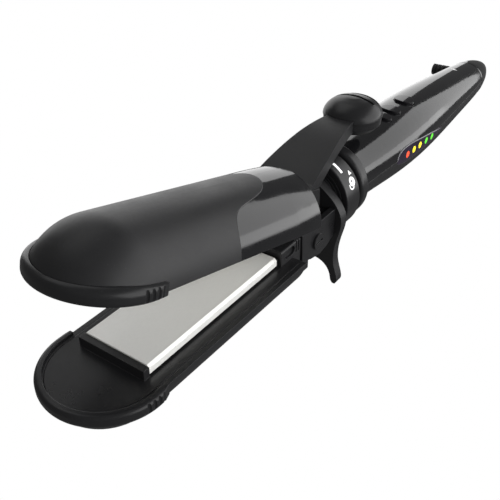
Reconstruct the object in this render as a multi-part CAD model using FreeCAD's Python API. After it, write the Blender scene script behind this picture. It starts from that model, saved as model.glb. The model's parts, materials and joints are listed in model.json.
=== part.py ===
"""Hair straightener with half-round arms, built as an assembly of named pieces.

Frame: +X runs from the tip to the cord end, +Y to one side, +Z up.  The origin
is the centre of the footprint on the table under the stand feet.  Shapes are
drawn about the handle axis and lifted onto the table when they are written.
Drawn open: the upper arm stands against its open stop.
"""
import FreeCAD
import Part
import math
import os

V = FreeCAD.Vector
X_AXIS = V(1, 0, 0)
Y_AXIS = V(0, 1, 0)
Z_AXIS = V(0, 0, 1)

# ---- overall stations along the handle axis (mm) ----
AXIS_Z = 32.0            # height of the handle axis over the table
TAIL_X = 160.3           # end of the swivelling tail cap
LOWER_NOSE_X = -139.4    # centre of the round nose of the lower arm
UPPER_NOSE_X = -142.0    # centre of the round nose of the upper arm

# ---- arms ----
ARM_R = 19.6             # outer radius of both arms at the nose
ARM_TAPER = 0.006        # growth of the radius towards the hinge
NOSE_LEN = 20.8          # the nose is a ball stretched to this length
ARM_Z = 3.0              # mating plane of each arm, above or below the axis
LOWER_DROP = 0.8         # the lower shell hangs this much under the handle axis
WALL = 1.8               # arm shell wall
RIM_W = 20.9             # half width of the tip rims
RIM_H = 4.8              # height of the tip rims at the tip
RIM_THIN = 1.6           # the rims lose this much height towards their ends
RIM_TAIL = 4.0           # the tip rims run this far behind the nose centre
RIM_GAP = 0.15           # shadow line between rim and shell
LOWER_END_X = -62.0      # rear end of the lower arm shell
UPPER_END_X = -68.0      # rear end of the hollow in the upper arm
SEAM_X = -104.6          # seam between front shell and rear cuff, at the sides
CUFF_END_X = -55.0       # rear end of the upper cuff
SHOULDER_X = -70.0       # the cuff starts to draw in here
CUFF_REAR_R = 19.8       # radius of the rear edge of the cuff
DECK_T = 1.8             # thickness of the flat decks
DECK_GAP = 0.15          # deck set back into the mouth of the shell

# ---- heating plates ----
PLATE_HALF_W = 12.9      # one inch plates
PLATE_X0 = -135.5
PLATE_X1 = -70.7
PLATE_T = 3.0
PLATE_FACE_Z = 0.25      # each plate face stands off the axis when closed
PLATE_CHAMFER = 0.9

# ---- hinge and yoke ----
HINGE_X = -46.0
HINGE_Z = -5.5
OPEN_ANGLE = 15.0        # jaw opening against the open stop
PIN_R = 2.0
PIN_HEAD_R = 3.2
YOKE_IN = 12.3           # inside faces of the yoke cheeks
YOKE_OUT = 14.6
YOKE_X0 = -57.0
YOKE_X1 = -33.6
YOKE_TOP = 2.2
LUG_OUT = 11.8
LUG_BAR_X = -52.0        # rear face of the bar that joins the two ears
LUG_IN = 9.0

# ---- neck ----
STAND_X0 = -33.5         # stand plate
STAND_T = 4.0
NECK_R = 11.5
RING_X0 = -27.8
RING_X1 = -18.0
RING_R = 16.8
COLLAR_X0 = -15.6
COLLAR_X1 = -8.4
COLLAR_R = 16.0
HANDLE_X0 = -8.2
CAP_X0 = 134.5           # start of the swivelling tail cap

# ---- handle profile: station, radius, drop of the section centre ----
HANDLE_PROFILE = [
    (-8.2, 13.2, 0.0),
    (15.0, 14.1, -0.6),
    (45.0, 15.3, -1.2),
    (76.0, 14.3, -1.4),
    (106.0, 12.2, -1.8),
    (134.5, 9.8, -2.4),
]
CAP_DROP = -2.4
CAP_PROFILE = [(134.8, 9.8), (141.0, 8.9), (147.5, 7.5), (153.0, 5.8), (157.0, 4.1), (159.4, 2.3),
               (160.3, 0.0)]
PARTING_Z = -0.6         # joint line of the two handle shells
PARTING_GAP = 0.16
HANDLE_WALL = 2.0

# ---- cord guard ----
GUARD_X = 141.8
GUARD_R = 3.4
GUARD_END_Y = RIM_W
CORD_R = 2.2             # cord hole in the guard
CORD_DEPTH = 14.0


def box(x0, x1, y0, y1, z0, z1):
    return Part.makeBox(x1 - x0, y1 - y0, z1 - z0, V(x0, y0, z0))


def smooth_prism_x(points, x0, x1):
    """Smooth closed front profile through (y, z) points, swept from x0 to x1."""
    curve = Part.BSplineCurve()
    curve.interpolate([V(x0, y, z) for y, z in points], PeriodicFlag=True)
    return Part.Face(Part.Wire(curve.toShape())).extrude(V(x1 - x0, 0, 0))


def smooth_prism_y(points, y0, y1):
    """Smooth closed side profile through (x, z) points, swept from y0 to y1."""
    curve = Part.BSplineCurve()
    curve.interpolate([V(x, y0, z) for x, z in points], PeriodicFlag=True)
    return Part.Face(Part.Wire(curve.toShape())).extrude(V(0, y1 - y0, 0))


def strap_y(top, low, y0, y1):
    """Side profile between two smooth curves through (x, z) points, swept from y0 to y1."""
    edges = []
    ends = []
    for points in (top, low):
        curve = Part.BSplineCurve()
        curve.interpolate([V(x, y0, z) for x, z in points])
        edges.append(curve.toShape())
        ends.append((V(points[0][0], y0, points[0][1]), V(points[-1][0], y0, points[-1][1])))
    edges.insert(1, Part.makeLine(ends[0][1], ends[1][0]))
    edges.append(Part.makeLine(ends[1][1], ends[0][0]))
    return Part.Face(Part.Wire(edges)).extrude(V(0, y1 - y0, 0))


def oval_z(x, y, half_x, half_y, z0, z1):
    """Upright oval post, longer across the handle than along it."""
    oval = Part.Ellipse(V(0, 0, z0), half_y, half_x).toShape()
    post = Part.Face(Part.Wire(oval)).extrude(V(0, 0, z1 - z0))
    post.rotate(V(0, 0, 0), Z_AXIS, 90)
    post.translate(V(x, y, 0))
    return post


def tube_x(r_out, r_in, x0, x1, z=0.0):
    outer = Part.makeCylinder(r_out, x1 - x0, V(x0, 0, z), X_AXIS)
    if r_in <= 0:
        return outer
    return outer.cut(Part.makeCylinder(r_in, x1 - x0 + 2, V(x0 - 1, 0, z), X_AXIS))


def cyl_y(r, x, z, y0, y1):
    return Part.makeCylinder(r, y1 - y0, V(x, y0, z), Y_AXIS)


def cyl_z(r, x, y, z0, z1):
    return Part.makeCylinder(r, z1 - z0, V(x, y, z0), Z_AXIS)


def prism_y(points, y0, y1):
    """Side profile of (x, z) points, swept from y0 to y1."""
    outline = [V(x, y0, z) for x, z in points]
    outline.append(outline[0])
    return Part.Face(Part.makePolygon(outline)).extrude(V(0, y1 - y0, 0))


def prism_z(points, z0, z1):
    """Plan profile of (x, y) points, swept from z0 to z1."""
    outline = [V(x, y, z0) for x, y in points]
    outline.append(outline[0])
    return Part.Face(Part.makePolygon(outline)).extrude(V(0, 0, z1 - z0))


def prism_x(points, x0, x1):
    """Front profile of (y, z) points, swept from x0 to x1."""
    outline = [V(x0, y, z) for y, z in points]
    outline.append(outline[0])
    return Part.Face(Part.makePolygon(outline)).extrude(V(x1 - x0, 0, 0))


def mirror_z(shape):
    return shape.mirror(V(0, 0, 0), Z_AXIS)


def round_nose(nose_x, half_w, x_rear, z0, z1):
    """Plan with straight sides and a half-round nose."""
    nose = cyl_z(half_w, nose_x, 0, z0, z1).common(
        box(nose_x - half_w - 1, nose_x, -half_w - 1, half_w + 1, z0, z1))
    return nose.fuse(box(nose_x, x_rear, -half_w, half_w, z0, z1)).removeSplitter()


def arm_radius(x, nose_x, inset=0.0):
    return ARM_R - inset + ARM_TAPER * (x - nose_x)


def arm_solid(nose_x, inset, x_rear, z_mouth):
    """Half-round bar below z_mouth: a slight cone with a stretched ball for a nose."""
    tip = V(nose_x - NOSE_LEN + inset, 0, 0)
    shoulder = V(nose_x, ARM_R - inset, 0)
    rear = V(x_rear, arm_radius(x_rear, nose_x, inset), 0)
    foot = V(x_rear, 0, 0)
    oval = Part.Ellipse(V(nose_x, 0, 0), NOSE_LEN - inset, ARM_R - inset)
    outline = Part.Wire([oval.toShape(math.pi / 2, math.pi), Part.makeLine(tip, foot),
                         Part.makeLine(foot, rear), Part.makeLine(rear, shoulder)])
    bar = Part.Face(outline).revolve(V(0, 0, 0), X_AXIS, 360)
    return bar.common(box(tip.x - 1, x_rear + 1, -30, 30, -30, z_mouth)).removeSplitter()


def edges_at_z(shape, z):
    found = []
    for edge in shape.Edges:
        bb = edge.BoundBox
        if abs(bb.ZMin - z) < 1e-4 and abs(bb.ZMax - z) < 1e-4:
            found.append(edge)
    return found


def screw(x, y, z_head, z_end, r=1.1, head_r=2.1, head_h=1.3):
    """Countersunk screw driven upwards, cross recess in its head."""
    body = cyl_z(r, x, y, z_head + head_h, z_end)
    body = body.fuse(cyl_z(head_r, x, y, z_head, z_head + head_h))
    for length, width in ((2.6, 0.5), (0.5, 2.6)):
        slot = box(x - length / 2, x + length / 2, y - width / 2, y + width / 2,
                   z_head - 0.1, z_head + 0.6)
        body = body.cut(slot)
    return body.removeSplitter()


# =====================================================================
# Arm pieces, all drawn for the lower arm; the upper arm mirrors them
# =====================================================================
DECK_TOP = -ARM_Z - 0.4
RIB_PITCH = 1.95
SCREW_SPOTS = [(-129.0, 8.0), (-129.0, -8.0), (-77.0, 8.0), (-77.0, -8.0)]


def make_rim(nose_x):
    """Tip rim: rounded lip round the nose, four grip ribs on each end, ends faded out."""
    top = -ARM_Z + 0.4
    low = -ARM_Z - RIM_H
    rear = nose_x + RIM_TAIL
    band = round_nose(nose_x, RIM_W, rear, low, top)
    for z, radius in ((top, 1.5), (low, 2.5)):
        rounded = [e for e in edges_at_z(band, z) if e.BoundBox.XLength > 1]
        band = band.makeFillet(radius, rounded)
    fade = prism_z([(nose_x, RIM_W + 0.1), (rear + 1, RIM_W + 0.1), (rear + 1, ARM_R + 0.1),
                    (rear - 0.2, ARM_R + 0.3)], low - 1, top + 1)
    band = band.cut(fade).cut(fade.mirror(V(0, 0, 0), Y_AXIS))
    thin = [(nose_x - RIM_W / 2, low - 0.1), (rear + 1, low - 0.1), (rear + 1, low + RIM_THIN)]
    band = band.cut(prism_y(thin, -RIM_W - 1, RIM_W + 1))
    band = band.cut(arm_solid(nose_x, -RIM_GAP, rear + 1, DECK_TOP))
    band = band.cut(round_nose(nose_x, ARM_R - 1.1, rear + 1, DECK_TOP - 0.1, 0))
    for i in range(4):
        dx = -4.6 + i * RIB_PITCH
        side_y = math.sqrt(RIM_W ** 2 - min(dx, 0) ** 2)
        for side in (-1, 1):
            band = band.cut(cyl_z(0.55, nose_x + dx, side * side_y, low - 1, 0))
    return band


def make_plate():
    """Heating plate with chamfered long edges."""
    c = PLATE_CHAMFER
    w = PLATE_HALF_W
    top = -PLATE_FACE_Z
    low = top - PLATE_T
    section = [(-w, low), (w, low), (w, top - c), (w - c, top), (c - w, top), (-w, top - c)]
    return prism_x(section, PLATE_X0, PLATE_X1)


def make_carrier():
    """Tray under the deck that clamps the heater to the plate."""
    top = DECK_TOP - DECK_T
    tray = box(PLATE_X0 + 3, PLATE_X1 - 3, -11, 11, top - 3.2, top)
    tray = tray.cut(box(PLATE_X0 + 13, PLATE_X1 - 13, -8.2, 8.2, top - 1.6, top + 1))
    for x, y in SCREW_SPOTS:
        tray = tray.cut(cyl_z(1.1, x, y, top - 4, top + 1))
    return tray


def make_heater(lift=0.0):
    """Flat heater block between the carrier and the plate."""
    top = -PLATE_FACE_Z - PLATE_T + lift
    return box(PLATE_X0 + 13.2, PLATE_X1 - 13.2, -8, 8, DECK_TOP - DECK_T - 1.5, top)


def make_end_caps(lift):
    """Dark end blocks in front of and behind the plate."""
    top = -PLATE_FACE_Z - 0.5 + lift
    caps = []
    for x0, x1 in ((PLATE_X0 - 2.4, PLATE_X0), (PLATE_X1, PLATE_X1 + 0.6)):
        caps.append(box(x0, x1, -PLATE_HALF_W, PLATE_HALF_W, DECK_TOP, top))
    return caps


def make_deck(nose_x, x_rear, lift=0.0):
    """Flat inner face of an arm, open under the plate for the heater."""
    low = DECK_TOP - DECK_T
    deck = arm_solid(nose_x, WALL + DECK_GAP, x_rear, DECK_TOP).common(
        box(nose_x - 30, x_rear, -30, 30, low, DECK_TOP))
    deck = deck.cut(box(PLATE_X0 + 13, PLATE_X1 - 13, -8.2, 8.2, low - 1, 0))
    for cap in make_end_caps(lift):
        deck = deck.fuse(cap)
    for x, y in SCREW_SPOTS:
        deck = deck.cut(cyl_z(1.1, x, y, low - 1, 0))
    return deck.removeSplitter()


def make_screws():
    top = DECK_TOP - DECK_T
    return [screw(x, y, top - 4.5, DECK_TOP, r=1.05) for x, y in SCREW_SPOTS]


def group(shapes):
    return Part.makeCompound(shapes)


nodes = {}

# ---- lower arm ----
shell = arm_solid(LOWER_NOSE_X, 0, LOWER_END_X, DECK_TOP)
shell = shell.cut(arm_solid(LOWER_NOSE_X, WALL, LOWER_END_X - WALL, DECK_TOP + 1))
shell = shell.cut(box(LOWER_END_X - WALL - 1, LOWER_END_X + 1, -11.1, 11.1,
                      LOWER_DROP - 14.1, LOWER_DROP - 11.3))
nodes["lower_arm_shell"] = shell
nodes["lower_tip_rim"] = make_rim(LOWER_NOSE_X)
nodes["lower_carrier"] = make_carrier()
nodes["lower_heater"] = make_heater(LOWER_DROP)
nodes["lower_deck"] = make_deck(LOWER_NOSE_X, LOWER_END_X - WALL, LOWER_DROP)
nodes["lower_screws"] = group(make_screws())
for shape in nodes.values():
    shape.translate(V(0, 0, -LOWER_DROP))
nodes["lower_plate"] = make_plate()
lower_mouth = DECK_TOP - LOWER_DROP

# ---- block behind the lower plate: carries the latch pocket on each flank ----
block = box(PLATE_X1 + 1.2, YOKE_X0, -14, 14, lower_mouth, 1.8)
top_edges = [e for e in edges_at_z(block, 1.8) if e.BoundBox.XLength > 1]
block = block.makeFillet(0.8, top_edges)
for side in (-1, 1):
    pocket = cyl_y(1.7, -65.6, -0.9, -1, 1)
    pocket = pocket.fuse(cyl_y(1.7, -62.6, -0.9, -1, 1)).fuse(box(-65.6, -62.6, -1, 1, -2.6, 0.8))
    pocket.translate(V(0, side * 14, 0))
    block = block.cut(pocket)
    for x in (-59.9, -58.5):
        block = block.cut(box(x - 0.3, x + 0.3, side * 14 - 0.6, side * 14 + 0.6, -3, 3))
block = block.fuse(box(LOWER_END_X, YOKE_X0, -14, 14, -11.3, lower_mouth))
nodes["lower_rear_block"] = block.removeSplitter()

# ---- yoke: two cheeks, a floor that reaches into the lower arm, a rear wall ----
cheek = [(YOKE_X0, YOKE_TOP), (YOKE_X1, YOKE_TOP), (YOKE_X1, -9.2), (-38.0, -11.4),
         (-43.5, -12.6), (-50.0, -11.4), (-54.2, -9.9), (-56.2, -9.2)]
yoke = None
for side in (-1, 1):
    y0, y1 = sorted((side * YOKE_IN, side * YOKE_OUT))
    plate = prism_y(cheek, y0, y1)
    yoke = plate if yoke is None else yoke.fuse(plate)
yoke = yoke.fuse(box(YOKE_X1 - 2.6, YOKE_X1, -YOKE_IN, YOKE_IN, -9.2, YOKE_TOP - 1.5))
yoke = yoke.fuse(box(-44.0, YOKE_X1, -YOKE_IN, YOKE_IN, -12.5, -11.2).common(
    prism_y(cheek, -YOKE_OUT, YOKE_OUT)))
yoke = yoke.fuse(box(-78.0, -52.0, -11.0, 11.0, -14.0, -11.4))
yoke = yoke.fuse(box(-56.2, -52.0, -YOKE_OUT, YOKE_OUT, -14.0, -9.9).common(
    prism_y([(-56.2, -9.9), (-52, -9.9), (-52, -14), (-56.2, -14)], -YOKE_OUT, YOKE_OUT)))
yoke = yoke.cut(cyl_y(PIN_R, HINGE_X, HINGE_Z, -20, 20))
nodes["yoke_bracket"] = yoke.removeSplitter()

# ---- hinge pin with a slotted head ----
pin = cyl_y(PIN_R, HINGE_X, HINGE_Z, -YOKE_OUT, YOKE_OUT)
for side in (-1, 1):
    y0, y1 = sorted((side * YOKE_OUT, side * (YOKE_OUT + 0.9)))
    pin = pin.fuse(cyl_y(PIN_HEAD_R, HINGE_X, HINGE_Z, y0, y1))
    y0, y1 = sorted((side * (YOKE_OUT + 0.4), side * (YOKE_OUT + 2)))
    pin = pin.cut(box(HINGE_X - 2.3, HINGE_X + 2.3, y0, y1, HINGE_Z - 0.4, HINGE_Z + 0.4))
nodes["hinge_pin"] = pin.removeSplitter()

# ---- torsion spring round the pin ----
WIRE_R = 0.55
COIL_R = 3.5
COIL_PITCH = 1.5
COIL_TURNS = 5
helix = Part.makeHelix(COIL_PITCH, COIL_PITCH * COIL_TURNS, COIL_R)
circle = Part.Wire(Part.makeCircle(WIRE_R, V(COIL_R, 0, 0), V(0, 1, 0)))
coil = Part.Wire(helix.Edges).makePipeShell([circle], True, True)
coil.rotate(V(0, 0, 0), X_AXIS, -90)
coil.translate(V(HINGE_X, -COIL_PITCH * COIL_TURNS / 2, HINGE_Z))
nodes["hinge_spring"] = coil

# ---- stand: plate on the neck with two feet joined by an arch ----
half = [(0.0, 11.2), (-6.0, 10.2), (-9.4, 8.0), (-12.8, 5.4), (-15.4, 2.4), (-17.1, -1.0),
        (-17.4, -5.0), (-16.4, -10.0), (-15.4, -15.0), (-15.1, -18.5), (-15.4, -22.5),
        (-16.4, -26.0), (-17.2, -28.8), (-17.2, -31.0), (-16.2, -32.2), (-15.0, -31.4),
        (-14.2, -28.8), (-13.0, -26.0), (-10.8, -23.8), (-6.0, -22.3), (0.0, -22.0)]
outline = half + [(-y, z) for y, z in reversed(half[1:-1])]
stand = smooth_prism_x(outline, STAND_X0, STAND_X0 + STAND_T)
stand = stand.common(box(STAND_X0 - 1, STAND_X0 + STAND_T + 1, -30, 30, -AXIS_Z, 30))
stand = stand.cut(tube_x(8.0, 0, STAND_X0 - 1, STAND_X0 + STAND_T + 1))
nodes["stand_leg"] = stand

# ---- neck: ridged tube from the stand into the handle ----
neck = tube_x(NECK_R, 8.0, STAND_X0 + STAND_T, COLLAR_X0 - 1.8)
neck = neck.cut(tube_x(NECK_R + 1, NECK_R - 0.6, -28.9, -28.3))
neck = neck.fuse(tube_x(10.5, 8.0, COLLAR_X0 - 1.8, 20.0))
nodes["neck_tube"] = neck.removeSplitter()

# ---- locking ring that turns on the neck ----
ring = tube_x(RING_R, NECK_R + 0.06, RING_X0, RING_X1)
end_circles = [e for e in ring.Edges if abs(e.BoundBox.YLength - 2 * RING_R) < 0.01]
ring = ring.makeFillet(0.5, end_circles)
for r in (12.6, 14.2):
    ring = ring.cut(tube_x(r + 0.45, r, RING_X0 - 1, RING_X0 + 0.5))
for i in range(5):
    angle = math.radians(-38 - i * 7)
    y = -(RING_R + 0.25) * math.cos(angle)
    z = (RING_R + 0.25) * math.sin(angle)
    ring = ring.cut(Part.makeCylinder(0.6, 6.4, V(RING_X0 + 1.7, y, z), X_AXIS))
nodes["lock_ring"] = ring

# ---- collar at the front of the handle ----
collar = tube_x(COLLAR_R, 10.5, COLLAR_X0 + 1.2, COLLAR_X1)
rear_round = [e for e in collar.Edges if abs(e.BoundBox.YLength - 2 * COLLAR_R) < 0.01]
collar = collar.makeFillet(1.6, rear_round)
collar = collar.fuse(tube_x(13.4, 10.5, COLLAR_X0 - 1.8, COLLAR_X0 + 1.2))
nodes["handle_collar"] = collar.removeSplitter()


# ---- handle shells: lofted round sections, split at the parting line ----
def handle_body(inset):
    wires = []
    for x, r, drop in HANDLE_PROFILE:
        wires.append(Part.Wire(Part.makeCircle(r - inset, V(x, 0, drop), X_AXIS)))
    return Part.makeLoft(wires, True, False)


def handle_bottom(x):
    """Height of the underside of the handle at station x."""
    for (x0, r0, d0), (x1, r1, d1) in zip(HANDLE_PROFILE, HANDLE_PROFILE[1:]):
        if x0 <= x <= x1:
            t = (x - x0) / (x1 - x0)
            return d0 + t * (d1 - d0) - r0 - t * (r1 - r0)
    return 0.0


handle_outer = handle_body(0.0)
handle_inner = handle_body(HANDLE_WALL)
handle_inner = handle_inner.common(box(-4.0, CAP_X0 - 6.5, -30, 30, -30, 30))
handle_skin = handle_outer.cut(handle_inner)
handle_skin = handle_skin.cut(tube_x(10.5, 0, HANDLE_X0 - 1, 0.0))
handle_skin = handle_skin.cut(tube_x(6.2, 0, CAP_X0 - 8.0, CAP_X0 + 1.0, CAP_DROP))
above = box(-40, 200, -40, 40, PARTING_Z + PARTING_GAP / 2, 40)
below = box(-40, 200, -40, 40, -40, PARTING_Z - PARTING_GAP / 2)
upper = handle_skin.common(above)
lower = handle_skin.common(below)

# Leaf-shaped window on the near flank, straddling the LEDs
WINDOW = [(20.4, -0.9), (20.9, 0.6), (22.8, 2.2), (26.6, 3.0), (33.9, 3.0), (43.4, 1.9),
          (55.2, 0.2), (67.3, -1.9), (62.0, -3.7), (52.0, -4.6), (40.0, -4.8), (29.0, -4.3),
          (22.6, -2.8)]
window_cut = smooth_prism_y(WINDOW, -30, -5)
window = handle_skin.common(window_cut)
upper = upper.cut(window_cut)
lower = lower.cut(window_cut)
LED_SPOTS = [(30.1, -0.9), (36.1, -0.8), (42.2, -1.0), (49.0, -1.4), (55.8, -2.0)]
LED_R = 1.5
leds = []
for x, z in LED_SPOTS:
    lens = cyl_y(LED_R, x, z, -16.5, -10.4).common(handle_outer)
    leds.append(lens)
    window = window.cut(cyl_y(LED_R + 0.05, x, z, -20, -5))
nodes["led_window"] = window
nodes["led_lenses"] = group(leds)

# Buttons in a row on top, each sliding straight down
BUTTONS = [("button_down", 28.9, 2.5), ("button_power", 37.6, 3.0), ("button_up", 51.0, 3.8)]
BUTTON_Y = -1.2
BUTTON_HALF_Y = 4.6
BUTTON_RISE = 1.0        # keys stand this far out of the handle
DISH_R = 10.0            # thumb dish in the top of each key
DISH_DEPTH = 0.75
button_envelope = handle_body(-BUTTON_RISE)
for name, x, half_x in BUTTONS:
    upper = upper.cut(oval_z(x, BUTTON_Y, half_x + 0.25, BUTTON_HALF_Y + 0.25, 5, 30))
    key = oval_z(x, BUTTON_Y, half_x, BUTTON_HALF_Y, 8.2, 30).common(button_envelope)
    dish = Part.makeSphere(DISH_R, V(x, BUTTON_Y, key.BoundBox.ZMax + DISH_R - DISH_DEPTH))
    nodes[name] = key.cut(dish)
nodes["handle_upper_shell"] = upper.removeSplitter()

# Screw holes under the handle
HANDLE_SCREWS = [26.0, 112.0]
screws = []
for x in HANDLE_SCREWS:
    z_skin = handle_bottom(x)
    lower = lower.cut(cyl_z(2.4, x, 0, -20, z_skin + 1.6))
    lower = lower.fuse(cyl_z(3.6, x, 0, z_skin + 1.6, -4.0).cut(cyl_z(1.05, x, 0, -20, -3)))
    lower = lower.cut(cyl_z(1.05, x, 0, -20, -3))
    screws.append(screw(x, 0, z_skin + 0.3, -4.5, r=1.0))
nodes["handle_lower_shell"] = lower.removeSplitter()
nodes["handle_screws"] = group(screws)

# ---- control board with switches, inside the handle ----
board = box(22.0, 84.0, -9.0, 9.0, 3.4, 5.0)
nodes["control_board"] = board
switches = []
for name, x, half_x in BUTTONS:
    switches.append(box(x - 2.2, x + 2.2, BUTTON_Y - 2.2, BUTTON_Y + 2.2, 5.0, 7.2))
nodes["button_switches"] = group(switches)

# ---- swivelling tail cap with its side-going cord guard ----
cap_curve = Part.BSplineCurve()
cap_curve.interpolate([V(x, r, 0) for x, r in CAP_PROFILE], InitialTangent=V(1, -0.05, 0),
                      FinalTangent=V(0, -1, 0))
cap_start = V(CAP_PROFILE[0][0], 0, 0)
cap_outline = Part.Wire([cap_curve.toShape(), Part.makeLine(V(TAIL_X, 0, 0), cap_start),
                         Part.makeLine(cap_start, V(*CAP_PROFILE[0], 0))])
cap = Part.Face(cap_outline).revolve(V(0, 0, 0), X_AXIS, 360)
cap.translate(V(0, 0, CAP_DROP))
cap = cap.fuse(tube_x(3.9, 2.2, CAP_X0 - 8.0, CAP_X0 + 0.3, CAP_DROP))
cap = cap.fuse(tube_x(5.2, 2.2, CAP_X0 - 8.0, CAP_X0 - 6.6, CAP_DROP))
cap = cap.cut(cyl_y(GUARD_R, GUARD_X, CAP_DROP, 4.0, 30.0))
nodes["tail_cap"] = cap.removeSplitter()
guard = Part.makeCone(GUARD_R, GUARD_R - 0.4, GUARD_END_Y - 4.0, V(GUARD_X, 4.0, CAP_DROP), Y_AXIS)
for i in range(4):
    y = 11.6 + i * 2.2
    rib_gap = cyl_y(6, GUARD_X, CAP_DROP, y, y + 0.8)
    guard = guard.cut(rib_gap.cut(cyl_y(GUARD_R - 0.8, GUARD_X, CAP_DROP, y, y + 0.8)))
guard = guard.cut(cyl_y(CORD_R, GUARD_X, CAP_DROP, GUARD_END_Y - CORD_DEPTH, GUARD_END_Y + 1))
nodes["cord_guard"] = guard
nodes["swivel_socket"] = tube_x(6.2, 3.96, CAP_X0 - 6.3, CAP_X0, CAP_DROP)

# ---- upper arm, drawn closed and then swung to the open stop ----
arm = {}
cuff_x0 = SEAM_X - 8
shoulder_top = V(SHOULDER_X, 0, arm_radius(SHOULDER_X, UPPER_NOSE_X))
cuff_front = V(cuff_x0, 0, arm_radius(cuff_x0, UPPER_NOSE_X))
cuff_rear = V(CUFF_END_X, 0, CUFF_REAR_R)
shoulder = Part.Arc(shoulder_top, V(-62.5, 0, 19.98), cuff_rear).toShape()
outline = [Part.makeLine(V(cuff_x0, 0, 0), cuff_front), Part.makeLine(cuff_front, shoulder_top),
           shoulder, Part.makeLine(cuff_rear, V(CUFF_END_X, 0, 0)),
           Part.makeLine(V(CUFF_END_X, 0, 0), V(cuff_x0, 0, 0))]
rear = Part.Face(Part.Wire(outline)).revolve(V(0, 0, 0), X_AXIS, 360)
above_mouth = box(cuff_x0 - 1, 0, -30, 30, -DECK_TOP, 60)
bar = mirror_z(arm_solid(UPPER_NOSE_X, 0, cuff_x0, DECK_TOP)).fuse(rear.common(above_mouth))
hollow = mirror_z(arm_solid(UPPER_NOSE_X, WALL, UPPER_END_X, DECK_TOP + 1))
bar = bar.removeSplitter().cut(hollow)
seam_half = [(SEAM_X, -20.5), (-104.2, -18.2), (-103.3, -15.8), (-101.4, -13.6), (-99.2, -12.2),
             (-95.5, -11.2), (-91.0, -10.5), (-86.5, -9.7), (-82.0, -8.6), (-78.0, -6.6),
             (-75.4, -3.6), (-74.5, 0.0)]
seam = Part.BSplineCurve()
seam.interpolate([V(x, y, 0) for x, y in seam_half + [(x, -y) for x, y in seam_half[-2::-1]]])
front_x = UPPER_NOSE_X - 30
front_outline = Part.Wire([
    seam.toShape(), Part.makeLine(V(SEAM_X, 20.5, 0), V(front_x, 20.5, 0)),
    Part.makeLine(V(front_x, 20.5, 0), V(front_x, -20.5, 0)),
    Part.makeLine(V(front_x, -20.5, 0), V(SEAM_X, -20.5, 0))])
front_plan = Part.Face(front_outline).extrude(V(0, 0, 60))
arm["upper_arm_shell"] = bar.common(front_plan)
arm["upper_cuff"] = bar.cut(front_plan)
arm["upper_tip_rim"] = mirror_z(make_rim(UPPER_NOSE_X))
arm["upper_plate"] = mirror_z(make_plate())
arm["upper_carrier"] = mirror_z(make_carrier())
arm["upper_heater"] = mirror_z(make_heater())
arm["upper_deck"] = mirror_z(make_deck(UPPER_NOSE_X, UPPER_END_X))
arm["upper_screws"] = mirror_z(group(make_screws()))

# Hinge lug: two ears that hang from the cuff onto the pin
ear = [(-60.0, 14.0), (-46.5, 14.0), (-44.5, 8.0), (-41.2, -2.0), (-40.6, -6.5), (-43.0, -10.4),
       (-47.0, -10.9), (-50.6, -8.6), (-52.6, -2.0), (-56.0, 3.5), (-60.0, 3.5)]
lug = None
for side in (-1, 1):
    y0, y1 = sorted((side * LUG_IN, side * LUG_OUT))
    plate = prism_y(ear, y0, y1)
    plate = plate.cut(box(-49.6, -48.4, -20, 20, 3.0, 10.0))
    lug = plate if lug is None else lug.fuse(plate)
lug = lug.fuse(box(-60.0, LUG_BAR_X, -LUG_OUT, LUG_OUT, 3.5, 14.0).cut(
    box(-70.0, -55.0, -LUG_IN, LUG_IN, 0, 20)))
lug = lug.cut(cyl_y(PIN_R + 0.06, HINGE_X, HINGE_Z, -20, 20))
arm["hinge_lug"] = lug.removeSplitter()
arm["upper_cuff"] = arm["upper_cuff"].cut(box(-60.0, 0, -LUG_OUT, LUG_OUT, 0, 14.0))

# Lever: tapering channel rising from the cuff to the thumb pad
lever_top = [(-56.0, 12.9), (-53.6, 14.8), (-50.0, 17.7), (-45.0, 21.2), (-38.0, 25.6),
             (-31.0, 29.5), (-24.0, 32.4), (-18.3, 34.2), (-5.0, 36.6)]
lever_low = [(-5.0, 31.8), (-18.0, 28.6), (-25.0, 25.4), (-33.0, 21.4), (-40.0, 17.2),
             (-46.2, 12.5)]
channel_top = [(-49.4, 15.5), (-44.4, 18.7), (-37.2, 22.9), (-30.2, 26.4), (-22.5, 29.7)]
lever_plan = [(-60.0, -12.2), (-52.0, -11.6), (-40.0, -9.9), (-28.0, -7.7), (-16.0, -5.7),
              (-4.0, -5.4), (-4.0, 5.4), (-16.0, 5.7), (-28.0, 7.7), (-40.0, 9.9),
              (-52.0, 11.6), (-60.0, 12.2)]
lever = strap_y(lever_top, lever_low, -14, 14).common(prism_z(lever_plan, 0, 60))
lever = lever.cut(bar).cut(arm["hinge_lug"])
root_side = box(-60.0, LUG_BAR_X, -14, 14, 0, 40)
arm["hinge_lug"] = arm["hinge_lug"].fuse(lever.common(root_side)).removeSplitter()
lever = lever.cut(root_side)
channel = prism_y(channel_top + [(-22.5, 20.0), (-40.0, 8.0), (-49.4, 8.0)], -14, 14)
channel_plan = [(x, y * 0.8) for x, y in lever_plan]
arm["lever_plate"] = lever.cut(channel.common(prism_z(channel_plan, 0, 60)))

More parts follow.
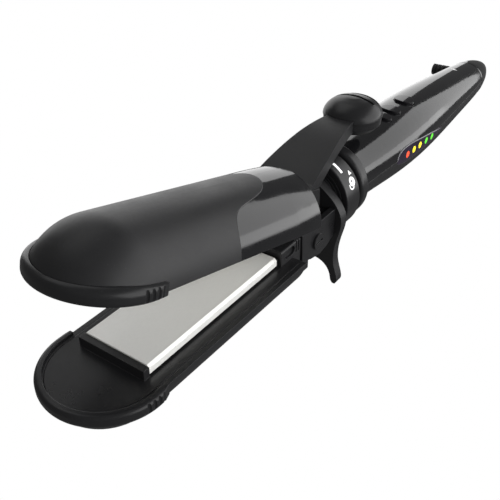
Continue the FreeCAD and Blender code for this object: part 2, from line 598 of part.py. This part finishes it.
# Thumb pad: round puck with a domed top and two cross grooves
PAD_X = -5.0
PAD_Z = 30.7
PAD_R = 12.0
PAD_RIM_H = 5.4          # widest line of the pad
PAD_PROFILE = [(12.0, 5.4), (11.5, 7.4), (9.6, 9.7), (6.6, 11.3), (3.2, 12.1), (0.0, 12.3)]
crown = Part.BSplineCurve()
crown.interpolate([V(r, 0, z) for r, z in PAD_PROFILE], InitialTangent=V(0, 0, 1),
                  FinalTangent=V(-1, 0, 0))
pad_top = V(0, 0, PAD_PROFILE[-1][1])
pad_foot = [V(0, 0, 0), V(PAD_R - 2.6, 0, 0), V(PAD_R - 0.5, 0, 2.2), V(PAD_R - 0.2, 0, PAD_RIM_H - 0.4),
            V(PAD_R, 0, PAD_RIM_H)]
pad_edges = [crown.toShape(), Part.makeLine(pad_top, pad_foot[0])]
for start, end in zip(pad_foot, pad_foot[1:]):
    pad_edges.append(Part.makeLine(start, end))
pad = Part.Face(Part.Wire(pad_edges)).revolve(V(0, 0, 0), Z_AXIS, 360)
groove_floor = pad.copy()
groove_floor.translate(V(0, 0, -0.8))
for x in (1.0, 5.6):
    pad = pad.cut(box(x - 0.8, x + 0.8, -8.4, 8.4, PAD_RIM_H, 14).cut(groove_floor))
pad.rotate(V(0, 0, 0), Y_AXIS, -OPEN_ANGLE)
pad.translate(V(PAD_X, 0, PAD_Z))
arm["thumb_pad"] = pad.cut(lever)

for name, shape in arm.items():
    shape = shape.copy()
    shape.rotate(V(HINGE_X, 0, HINGE_Z), Y_AXIS, OPEN_ANGLE)
    nodes[name] = shape

# ---- write one file per node, lifted onto the table ----
os.makedirs("parts", exist_ok=True)
for name, shape in nodes.items():
    shape.translate(V(0, 0, AXIS_Z))
    shape.exportStep("parts/" + name + ".step")
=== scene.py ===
"""Looks of the round-arm hair straightener: materials, printed marks, light and camera."""

import json
import math

import bpy
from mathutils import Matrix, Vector


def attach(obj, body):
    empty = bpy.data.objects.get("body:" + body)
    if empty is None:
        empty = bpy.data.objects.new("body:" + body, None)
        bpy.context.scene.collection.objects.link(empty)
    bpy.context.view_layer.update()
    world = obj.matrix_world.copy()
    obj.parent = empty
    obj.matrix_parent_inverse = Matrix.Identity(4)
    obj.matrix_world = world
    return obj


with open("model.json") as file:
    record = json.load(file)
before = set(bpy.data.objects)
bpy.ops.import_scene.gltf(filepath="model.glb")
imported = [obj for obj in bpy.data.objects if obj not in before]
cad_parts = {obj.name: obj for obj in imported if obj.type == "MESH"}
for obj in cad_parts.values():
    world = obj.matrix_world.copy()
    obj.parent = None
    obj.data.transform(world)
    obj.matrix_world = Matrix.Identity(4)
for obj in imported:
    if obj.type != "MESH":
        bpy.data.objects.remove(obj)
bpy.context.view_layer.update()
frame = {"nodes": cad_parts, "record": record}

# ================================================================ driving sizes
MM = 0.001               # lengths below are in millimetres unless they say metres
AXIS_Z = 32.0            # height of the handle axis
RING_R = 16.8            # outer radius of the locking ring
MARK_LIFT = 0.05         # printed marks stand this far off the ring
INK_THICKNESS = 0.04
EDGE_HIGHLIGHT_R = 0.34           # radius of the lighter grey bead that paints a highlight along the window
LED_RED_END_X = 33.1     # the lens in front of this station is red
LED_YELLOW_END_X = 45.6  # lenses behind the red one and in front of this station are yellow
TAIL_LINE_X = 114.5      # station of the printed line across the handle
TAIL_LINE_Y = 2.4        # where that line starts
TAIL_LINE_STEP = 0.44
TAIL_LINE_R = 0.32


# ================================================================ materials
class Shader:
    """A Principled material with a short way to add and join nodes."""

    def __init__(self, name):
        self.mat = bpy.data.materials.new(name)
        self.mat.use_nodes = True
        self.tree = self.mat.node_tree
        self.bsdf = next(n for n in self.tree.nodes if n.type == "BSDF_PRINCIPLED")

    def add(self, kind, **settings):
        node = self.tree.nodes.new(kind)
        for key, value in settings.items():
            setattr(node, key, value)
        return node

    def join(self, source, target):
        self.tree.links.new(source, target)

    def math(self, operation, a, b=0.0, clamp=False):
        """Sum, product or test of two values, each a number or a socket."""
        node = self.add("ShaderNodeMath", operation=operation, use_clamp=clamp)
        for socket, value in zip(node.inputs, (a, b)):
            if isinstance(value, (int, float)):
                socket.default_value = value
            else:
                self.join(value, socket)
        return node.outputs[0]

    def place(self, stretch=(1, 1, 1)):
        """Object coordinates in metres, stretched along each axis."""
        coords = self.add("ShaderNodeTexCoord")
        mapping = self.add("ShaderNodeMapping")
        mapping.inputs["Scale"].default_value = stretch
        self.join(coords.outputs["Object"], mapping.inputs["Vector"])
        return mapping.outputs["Vector"]

    def noise(self, size_mm, detail=2.0, rough=0.5, vector=None):
        """Noise whose main bumps are size_mm across, 0 to 1."""
        node = self.add("ShaderNodeTexNoise")
        node.inputs["Scale"].default_value = 1.0 / (size_mm * MM)
        node.inputs["Detail"].default_value = detail
        node.inputs["Roughness"].default_value = rough
        self.join(vector or self.place(), node.inputs["Vector"])
        return node.outputs["Fac"]

    def spread(self, value, low, high, start=0.3, end=0.7):
        """Map the middle of a noise onto low .. high."""
        node = self.add("ShaderNodeMapRange", clamp=True)
        node.inputs["From Min"].default_value = start
        node.inputs["From Max"].default_value = end
        node.inputs["To Min"].default_value = low
        node.inputs["To Max"].default_value = high
        self.join(value, node.inputs["Value"])
        return node.outputs["Result"]

    def blend(self, factor, colour_a, colour_b):
        """Mix of two colours, each a tuple or a socket."""
        node = self.add("ShaderNodeMix", data_type="RGBA")
        sockets = [s for s in node.inputs if s.type == "RGBA"]
        for socket, colour in zip(sockets, (colour_a, colour_b)):
            if isinstance(colour, tuple):
                socket.default_value = (*colour, 1)
            else:
                self.join(colour, socket)
        self.join(factor, node.inputs[0])
        return next(s for s in node.outputs if s.type == "RGBA")

    def rounded(self, radius_mm):
        """Normal with softly rounded edges, and a mask that is 1 on the edges."""
        bevel = self.add("ShaderNodeBevel", samples=6)
        bevel.inputs["Radius"].default_value = radius_mm * MM
        plain = self.add("ShaderNodeNewGeometry")
        dot = self.add("ShaderNodeVectorMath", operation="DOT_PRODUCT")
        self.join(bevel.outputs["Normal"], dot.inputs[0])
        self.join(plain.outputs["Normal"], dot.inputs[1])
        edge = self.math("SUBTRACT", 1.0, dot.outputs["Value"])
        return bevel.outputs["Normal"], self.math("MULTIPLY", edge, 5.0, clamp=True)

    def bump(self, height, depth_mm, normal=None):
        """Normal that rises by depth_mm where height goes from 0 to 1."""
        node = self.add("ShaderNodeBump")
        node.inputs["Distance"].default_value = depth_mm * MM
        self.join(height, node.inputs["Height"])
        if normal is not None:
            self.join(normal, node.inputs["Normal"])
        return node.outputs["Normal"]


def scaled(colour, factor):
    return tuple(c * factor for c in colour)


def plastic(name, colour, rough, grain_mm, grain_depth, edge_mm=0.3, coat=0.0, wave_depth=0.0):
    """Moulded plastic: spark grain, soft edges, rubbed edges that are smoother and painted
    lighter as a highlight, fingermarks and faint dust.
    """
    s = Shader(name)
    low, high = rough
    smudge = s.noise(16, detail=5, rough=0.6)
    fine = s.noise(1.1, detail=3)
    rough_base = s.spread(smudge, low, high)
    rough_fine = s.spread(fine, -0.02, 0.02)
    normal, edge = s.rounded(edge_mm)
    roughness = s.math("ADD", rough_base, rough_fine)
    # edge mask with noise: rubbed edges get smoother below, and the same mask paints them
    # lighter as a painted highlight
    wear_and_highlight = s.math("MULTIPLY", edge, s.spread(s.noise(2.2, detail=4), 0.1, 0.7))
    roughness = s.math("SUBTRACT", roughness, s.math("MULTIPLY", wear_and_highlight, 0.12), clamp=True)
    s.join(roughness, s.bsdf.inputs["Roughness"])
    tone = s.blend(s.spread(smudge, 0.0, 1.0), scaled(colour, 0.88), scaled(colour, 1.12))
    # painted highlight: edges lightened to 2.2 times the colour
    tone = s.blend(wear_and_highlight, tone, scaled(colour, 2.2))
    dust = s.spread(s.noise(0.55, detail=1), 0.0, 0.35, 0.70, 0.78)
    tone = s.blend(dust, tone, scaled(colour, 3.0))
    s.join(tone, s.bsdf.inputs["Base Color"])
    if wave_depth:
        normal = s.bump(s.noise(7, detail=1), wave_depth, normal)
    s.join(s.bump(s.noise(grain_mm, detail=2), grain_depth, normal), s.bsdf.inputs["Normal"])
    s.bsdf.inputs["Coat Weight"].default_value = coat
    s.bsdf.inputs["Coat Roughness"].default_value = 0.06
    return s


def metal(name, colour, rough, stretch, line_mm, line_depth, edge_mm=0.25, metallic=1.0):
    """Ground metal: fine lines along one axis, cloudy roughness, bright soft edges."""
    s = Shader(name)
    lines = s.noise(line_mm, detail=3, rough=0.6, vector=s.place(stretch))
    cloud = s.noise(12, detail=4)
    low, high = rough
    roughness = s.math("ADD", s.spread(cloud, low, high), s.spread(lines, -0.04, 0.04))
    s.join(roughness, s.bsdf.inputs["Roughness"])
    tone = s.blend(s.spread(lines, 0.0, 1.0), scaled(colour, 0.93), scaled(colour, 1.05))
    tone = s.blend(s.spread(cloud, 0.0, 0.5), tone, scaled(colour, 0.94))
    s.join(tone, s.bsdf.inputs["Base Color"])
    normal = s.rounded(edge_mm)[0]
    s.join(s.bump(lines, line_depth, normal), s.bsdf.inputs["Normal"])
    s.bsdf.inputs["Metallic"].default_value = metallic
    return s


def window_glass():
    """Dark tinted window: violet cast, near mirror, hair scratches."""
    s = Shader("window_glass")
    scratch = s.noise(0.5, detail=2, vector=s.place((0.15, 1, 1)))
    cloud = s.noise(9, detail=3)
    s.join(s.spread(cloud, 0.05, 0.12), s.bsdf.inputs["Roughness"])
    s.join(s.blend(s.spread(cloud, 0, 1), (0.016, 0.011, 0.024), (0.026, 0.018, 0.036)),
           s.bsdf.inputs["Base Color"])
    normal = s.rounded(0.35)[0]
    s.join(s.bump(scratch, 0.0015, normal), s.bsdf.inputs["Normal"])
    return s


def led_lens():
    """Lit lenses: red at the front, then yellow, then green along the window."""
    s = Shader("led_lens")
    axes = s.add("ShaderNodeSeparateXYZ")
    s.join(s.place(), axes.inputs[0])
    past_red = s.math("GREATER_THAN", axes.outputs["X"], LED_RED_END_X * MM)
    past_yellow = s.math("GREATER_THAN", axes.outputs["X"], LED_YELLOW_END_X * MM)
    warm = s.blend(past_red, (0.80, 0.045, 0.01), (0.95, 0.78, 0.02))
    tint = s.blend(past_yellow, warm, (0.08, 0.66, 0.02))
    cell = s.noise(0.5, detail=2)
    glow = s.blend(s.spread(cell, 0.0, 0.08), tint, (1.0, 1.0, 0.6))
    s.join(glow, s.bsdf.inputs["Base Color"])
    s.join(glow, s.bsdf.inputs["Emission Color"])
    s.join(s.spread(s.noise(1.2, detail=2), 0.65, 0.95), s.bsdf.inputs["Emission Strength"])
    s.join(s.spread(cell, 0.12, 0.28), s.bsdf.inputs["Roughness"])
    s.join(s.bump(cell, 0.01), s.bsdf.inputs["Normal"])
    return s


def white_print():
    """Pad-printed white ink with thin spots, a slightly rough face and a faint painted glow
    that makes it brighter than lit ink.
    """
    s = Shader("white_print")
    thin = s.noise(0.4, detail=3)
    s.join(s.blend(s.spread(thin, 0, 1), (0.80, 0.80, 0.80), (0.95, 0.95, 0.95)),
           s.bsdf.inputs["Base Color"])
    s.join(s.spread(thin, 0.45, 0.6), s.bsdf.inputs["Roughness"])
    s.join(s.bump(thin, 0.004), s.bsdf.inputs["Normal"])
    # painted light: emission 0.55 makes the ink glow brighter than the lamps alone would light
    # it
    s.bsdf.inputs["Emission Color"].default_value = (1, 1, 1, 1)
    s.bsdf.inputs["Emission Strength"].default_value = 0.55
    return s


def circuit_board():
    """Green board with darker copper tracks under the lacquer."""
    s = Shader("board")
    tracks = s.add("ShaderNodeTexWave", bands_direction="X")
    tracks.inputs["Scale"].default_value = 180
    tracks.inputs["Distortion"].default_value = 3
    s.join(s.place(), tracks.inputs["Vector"])
    s.join(s.blend(s.spread(tracks.outputs["Fac"], 0, 1, 0.6, 0.75), (0.03, 0.20, 0.08),
                   (0.07, 0.33, 0.13)), s.bsdf.inputs["Base Color"])
    s.join(s.spread(s.noise(3), 0.3, 0.45), s.bsdf.inputs["Roughness"])
    return s


MATTE = dict(colour=(0.016, 0.016, 0.017), rough=(0.40, 0.50))
SATIN = dict(colour=(0.015, 0.015, 0.016), rough=(0.27, 0.36))
GLOSS = dict(colour=(0.008, 0.008, 0.009), rough=(0.07, 0.13))
RUBBER = dict(colour=(0.020, 0.020, 0.020), rough=(0.50, 0.62))
CERAMIC = dict(colour=(0.62, 0.61, 0.57), rough=(0.55, 0.7))
TRAY_GREY = dict(colour=(0.16, 0.16, 0.165), rough=(0.45, 0.6))
SWITCH_GREY = dict(colour=(0.045, 0.045, 0.048), rough=(0.4, 0.5))
PLATE = dict(colour=(0.97, 0.965, 0.93), rough=(0.34, 0.44))
STEEL = dict(colour=(0.42, 0.42, 0.43), rough=(0.28, 0.42))

SLOTS = {
    "matte_black": plastic("matte_black", **MATTE, grain_mm=0.32, grain_depth=0.007),
    "satin_black": plastic("satin_black", **SATIN, grain_mm=0.28, grain_depth=0.004),
    "gloss_black": plastic("gloss_black", **GLOSS, grain_mm=0.8, grain_depth=0.001, coat=0.3,
                           wave_depth=0.004),
    "guard_rubber": plastic("guard_rubber", **RUBBER, grain_mm=0.25, grain_depth=0.010,
                            edge_mm=0.2),
    "window_glass": window_glass(),
    "led_lens": led_lens(),
    "plate_metal": metal("plate_metal", **PLATE, stretch=(1, 14, 1), line_mm=1.6,
                         line_depth=0.002, edge_mm=0.12, metallic=0.2),
    "steel": metal("steel", **STEEL, stretch=(1, 1, 6), line_mm=0.7, line_depth=0.003),
    "heater_ceramic": plastic("heater_ceramic", **CERAMIC, grain_mm=0.3, grain_depth=0.006,
                              edge_mm=0.2),
    "carrier_plastic": plastic("carrier_plastic", **TRAY_GREY, grain_mm=0.3, grain_depth=0.008),
    "board": circuit_board(),
    "switch_black": plastic("switch_black", **SWITCH_GREY, grain_mm=0.3, grain_depth=0.006,
                            edge_mm=0.2),
}
PRINT = white_print()

for part in frame["record"]["subparts"]:
    node = frame["nodes"][part["node"]]
    node.data.materials.clear()
    node.data.materials.append(SLOTS[part["material_slot"]].mat)


# ================================================================ printed and moulded pieces
def new_piece(name, verts, faces, material):
    """Mesh object through points in metres."""
    mesh = bpy.data.meshes.new(name)
    mesh.from_pydata(verts, [], faces)
    mesh.materials.append(material.mat)
    piece = bpy.data.objects.new(name, mesh)
    bpy.context.scene.collection.objects.link(piece)
    return piece


# ---------------------------------------------------------------- marks on the locking ring
def on_ring(x, angle, lift=MARK_LIFT):
    """Point on the locking ring: station x, angle from the top towards -Y in degrees."""
    a = math.radians(angle)
    radius = RING_R + lift
    return (x * MM, -radius * math.sin(a) * MM, (AXIS_Z + radius * math.cos(a)) * MM)


def ring_piece(name, verts, faces, material):
    """Thin layer of ink that turns with the locking ring."""
    piece = new_piece(name, verts, faces, material)
    skin = piece.modifiers.new("ink", "SOLIDIFY")
    skin.thickness = INK_THICKNESS * MM
    skin.offset = 0
    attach(piece, "lock_ring")
    return piece


def ring_strip(name, path, material, lift=MARK_LIFT):
    """Ribbon on the ring along path: (x, angle, half width in x) at each step."""
    verts = []
    for x, angle, half in path:
        verts += [on_ring(x - half, angle, lift), on_ring(x + half, angle, lift)]
    faces = [(2 * i, 2 * i + 1, 2 * i + 3, 2 * i + 2) for i in range(len(path) - 1)]
    return ring_piece(name, verts, faces, material)


def oval_path(x, angle, half_x, half_angle, steps=14):
    """Path of ring_strip that fills an oval."""
    path = []
    for i in range(steps + 1):
        t = -1 + 2 * i / steps
        path.append((x, angle + t * half_angle, half_x * math.sqrt(max(0.0, 1 - t * t))))
    return path


def arc_band(x, angle, radius_x, radius_angle, width, start, end, steps=16):
    """Curved band on the ring, as its points and faces."""
    verts = []
    faces = []
    for i in range(steps + 1):
        t = math.radians(start + (end - start) * i / steps)
        for grow in (0.0, 1.0):
            rx = radius_x + grow * width
            ra = radius_angle + grow * math.degrees(width / RING_R)
            verts.append(on_ring(x + rx * math.cos(t), angle + ra * math.sin(t)))
        if i:
            faces.append((2 * i - 2, 2 * i - 1, 2 * i + 1, 2 * i))
    return verts, faces


bar = [(-24.4, 26 + i * 1.65, 0.62) for i in range(11)]
arrow = [(-20.6, 44.5 + i, 0.16 * i + 0.02) for i in range(7)]
shackle = arc_band(-22.6, 64.2, 1.1, 3.6, 0.55, 20, 215)
marks = [
    ring_strip("mark_bar", bar, PRINT),
    ring_strip("mark_arrow", arrow, PRINT),
    ring_strip("mark_lock_body", oval_path(-21.6, 59.6, 1.75, 6.6), PRINT),
    ring_piece("mark_lock_shackle", *shackle, PRINT),
]
keyhole_path = oval_path(-21.9, 58.8, 0.42, 1.5)
keyhole = ring_strip("mark_lock_keyhole", keyhole_path, SLOTS["satin_black"],
                     lift=MARK_LIFT + 0.06)

# ---------------------------------------------------------------- beads on the handle
WINDOW_EDGE = [(20.4, -0.9), (20.9, 0.6), (22.8, 2.2), (26.6, 3.0), (33.9, 3.0), (43.4, 1.9),
               (55.2, 0.2), (67.0, -1.9)]
ACROSS = Vector((0.0, 0.8, -0.6))    # roughly into the handle, from the near side and above


def smooth_points(points, per_span=8):
    """Catmull-Rom curve through a list of (x, z) points."""
    ends = [points[0]] + points + [points[-1]]
    out = []
    for i in range(1, len(ends) - 2):
        p0, p1, p2, p3 = (Vector(p) for p in ends[i - 1:i + 3])
        for k in range(per_span):
            t = k / per_span
            out.append(0.5 * (2 * p1 + (p2 - p0) * t + (2 * p0 - 5 * p1 + 4 * p2 - p3) * t * t
                              + (3 * p1 - p0 - 3 * p2 + p3) * t ** 3))
    out.append(Vector(points[-1]))
    return out


def first_hit(names, start, direction):
    """Nearest point where a ray meets one of the named nodes, in metres."""
    places = []
    for name in names:
        hit, place = frame["nodes"][name].ray_cast(start, direction)[:2]
        if hit:
            places.append(place)
    return min(places, key=lambda place: (place - start).length)


def flank_point(x, z):
    """Point on the -Y flank of the handle at (x, z)."""
    start = Vector((x, -30, AXIS_Z + z)) * MM
    names = ("led_window", "handle_upper_shell", "handle_lower_shell")
    return first_hit(names, start, Vector((0, 1, 0)))


def top_point(x, y):
    """Point on the top of the handle at (x, y)."""
    start = Vector((x, y, AXIS_Z + 30)) * MM
    return first_hit(("handle_upper_shell",), start, Vector((0, 0, -1)))


def bead(name, path, radius, material, sides):
    """Thin round bead on the handle through a list of points, its ends drawn thin."""
    verts = []
    faces = []
    last = len(path) - 1
    for i, point in enumerate(path):
        along = (path[min(i + 1, last)] - path[max(i - 1, 0)]).normalized()
        side = along.cross(ACROSS).normalized()
        out = side.cross(along).normalized()
        fade = min(1.0, 0.12 + min(i, last - i) / 6)
        for k in range(sides):
            a = 2 * math.pi * k / sides
            verts.append(point + (side * math.cos(a) + out * math.sin(a)) * radius * MM * fade)
    for i in range(last):
        for k in range(sides):
            a = i * sides + k
            b = i * sides + (k + 1) % sides
            faces.append((a, b, b + sides, a + sides))
    faces.append(tuple(range(sides)))
    faces.append(tuple(range(last * sides, last * sides + sides)))
    piece = new_piece(name, verts, faces, material)
    piece.data.shade_smooth()
    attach(piece, "base")


# painted highlight: a lighter grey bead along the window's upper edge stands in for the light
# that the window's chamfer catches
bezel_grey = plastic("bezel_grey", (0.20, 0.20, 0.21), (0.16, 0.24), 0.4, 0.002, edge_mm=0.1)
edge_highlight_path = [flank_point(p.x, p.y) for p in smooth_points(WINDOW_EDGE)]
bead("window_bezel", edge_highlight_path, EDGE_HIGHLIGHT_R, bezel_grey, sides=8)
line_path = [top_point(TAIL_LINE_X, TAIL_LINE_Y - TAIL_LINE_STEP * i) for i in range(11)]
bead("mark_tail_line", line_path, TAIL_LINE_R, PRINT, sides=6)

# ================================================================ stage
FLOOR_SIZE = 8           # metres
FLOOR_DROP = 0.4         # the floor lies this far under the feet
SURROUND_LEVEL = 0.13    # how bright the surroundings are to everything but the camera

bpy.ops.mesh.primitive_plane_add(size=FLOOR_SIZE, location=(0, 0, -FLOOR_DROP * MM))
floor = bpy.context.object
floor.name = "floor"
floor_look = Shader("floor_white")
floor_look.bsdf.inputs["Base Color"].default_value = (0.0, 0.0, 0.0, 1)
floor_look.bsdf.inputs["Specular IOR Level"].default_value = 0.0
floor_look.bsdf.inputs["Emission Color"].default_value = (1, 1, 1, 1)
floor_look.bsdf.inputs["Emission Strength"].default_value = 1.0
floor.data.materials.append(floor_look.mat)
floor.visible_glossy = False
floor.visible_diffuse = False
floor.visible_shadow = False

world = bpy.data.worlds.new("studio")
bpy.context.scene.world = world
world.use_nodes = True
sky = world.node_tree.nodes["Background"]
seen = world.node_tree.nodes.new("ShaderNodeLightPath")
level = world.node_tree.nodes.new("ShaderNodeMapRange")
level.inputs["To Min"].default_value = SURROUND_LEVEL
level.inputs["To Max"].default_value = 1.0
world.node_tree.links.new(seen.outputs["Is Camera Ray"], level.inputs["Value"])
world.node_tree.links.new(level.outputs["Result"], sky.inputs["Strength"])
sky.inputs["Color"].default_value = (1, 1, 1, 1)


def softbox(name, azimuth, elevation, wide, tall, brightness, distance=1.6):
    """Rectangular soft light that faces the object.

    Azimuth goes from +X towards +Y and elevation upwards, wide and tall are the angles
    that the light fills as the object sees it, all in degrees; distance is in metres.
    """
    data = bpy.data.lights.new(name, "AREA")
    data.shape = "RECTANGLE"
    data.size = 2 * distance * math.tan(math.radians(wide / 2))
    data.size_y = 2 * distance * math.tan(math.radians(tall / 2))
    data.energy = brightness * math.pi * data.size * data.size_y
    light = bpy.data.objects.new(name, data)
    bpy.context.scene.collection.objects.link(light)
    az = math.radians(azimuth)
    el = math.radians(elevation)
    light.location = (distance * math.cos(el) * math.cos(az),
                      distance * math.cos(el) * math.sin(az), distance * math.sin(el))
    light.rotation_euler = (-Vector(light.location)).to_track_quat("-Z", "Y").to_euler()
    light.visible_camera = False
    return light


softbox("far_panel", 48, 8, 62, 50, 1.15)
softbox("near_panel", -60, 18, 96, 52, 1.4)
softbox("near_low_strip", -62, 0, 80, 12, 0.8, distance=1.55)
softbox("top_panel", 85, 64, 50, 30, 0.6)
plate_fill = softbox("plate_fill", -100, 25, 90, 40, 1.9)
plate_fill.visible_glossy = False

# ================================================================ camera
CAMERA_AZIMUTH = -54.62
CAMERA_ELEVATION = 34.09
CAMERA_PLACE = Vector((-238.2, -120.6, AXIS_Z + 138.0))

camera_data = bpy.data.cameras.new("camera")
camera_data.lens = 50.9
camera_data.sensor_width = 36
camera_data.clip_start = 0.01
camera = bpy.data.objects.new("camera", camera_data)
bpy.context.scene.collection.objects.link(camera)
camera.location = CAMERA_PLACE * MM
camera.rotation_euler = (math.radians(90 - CAMERA_ELEVATION), 0, math.radians(CAMERA_AZIMUTH))
bpy.context.scene.camera = camera
bpy.context.scene.view_settings.view_transform = "Standard"
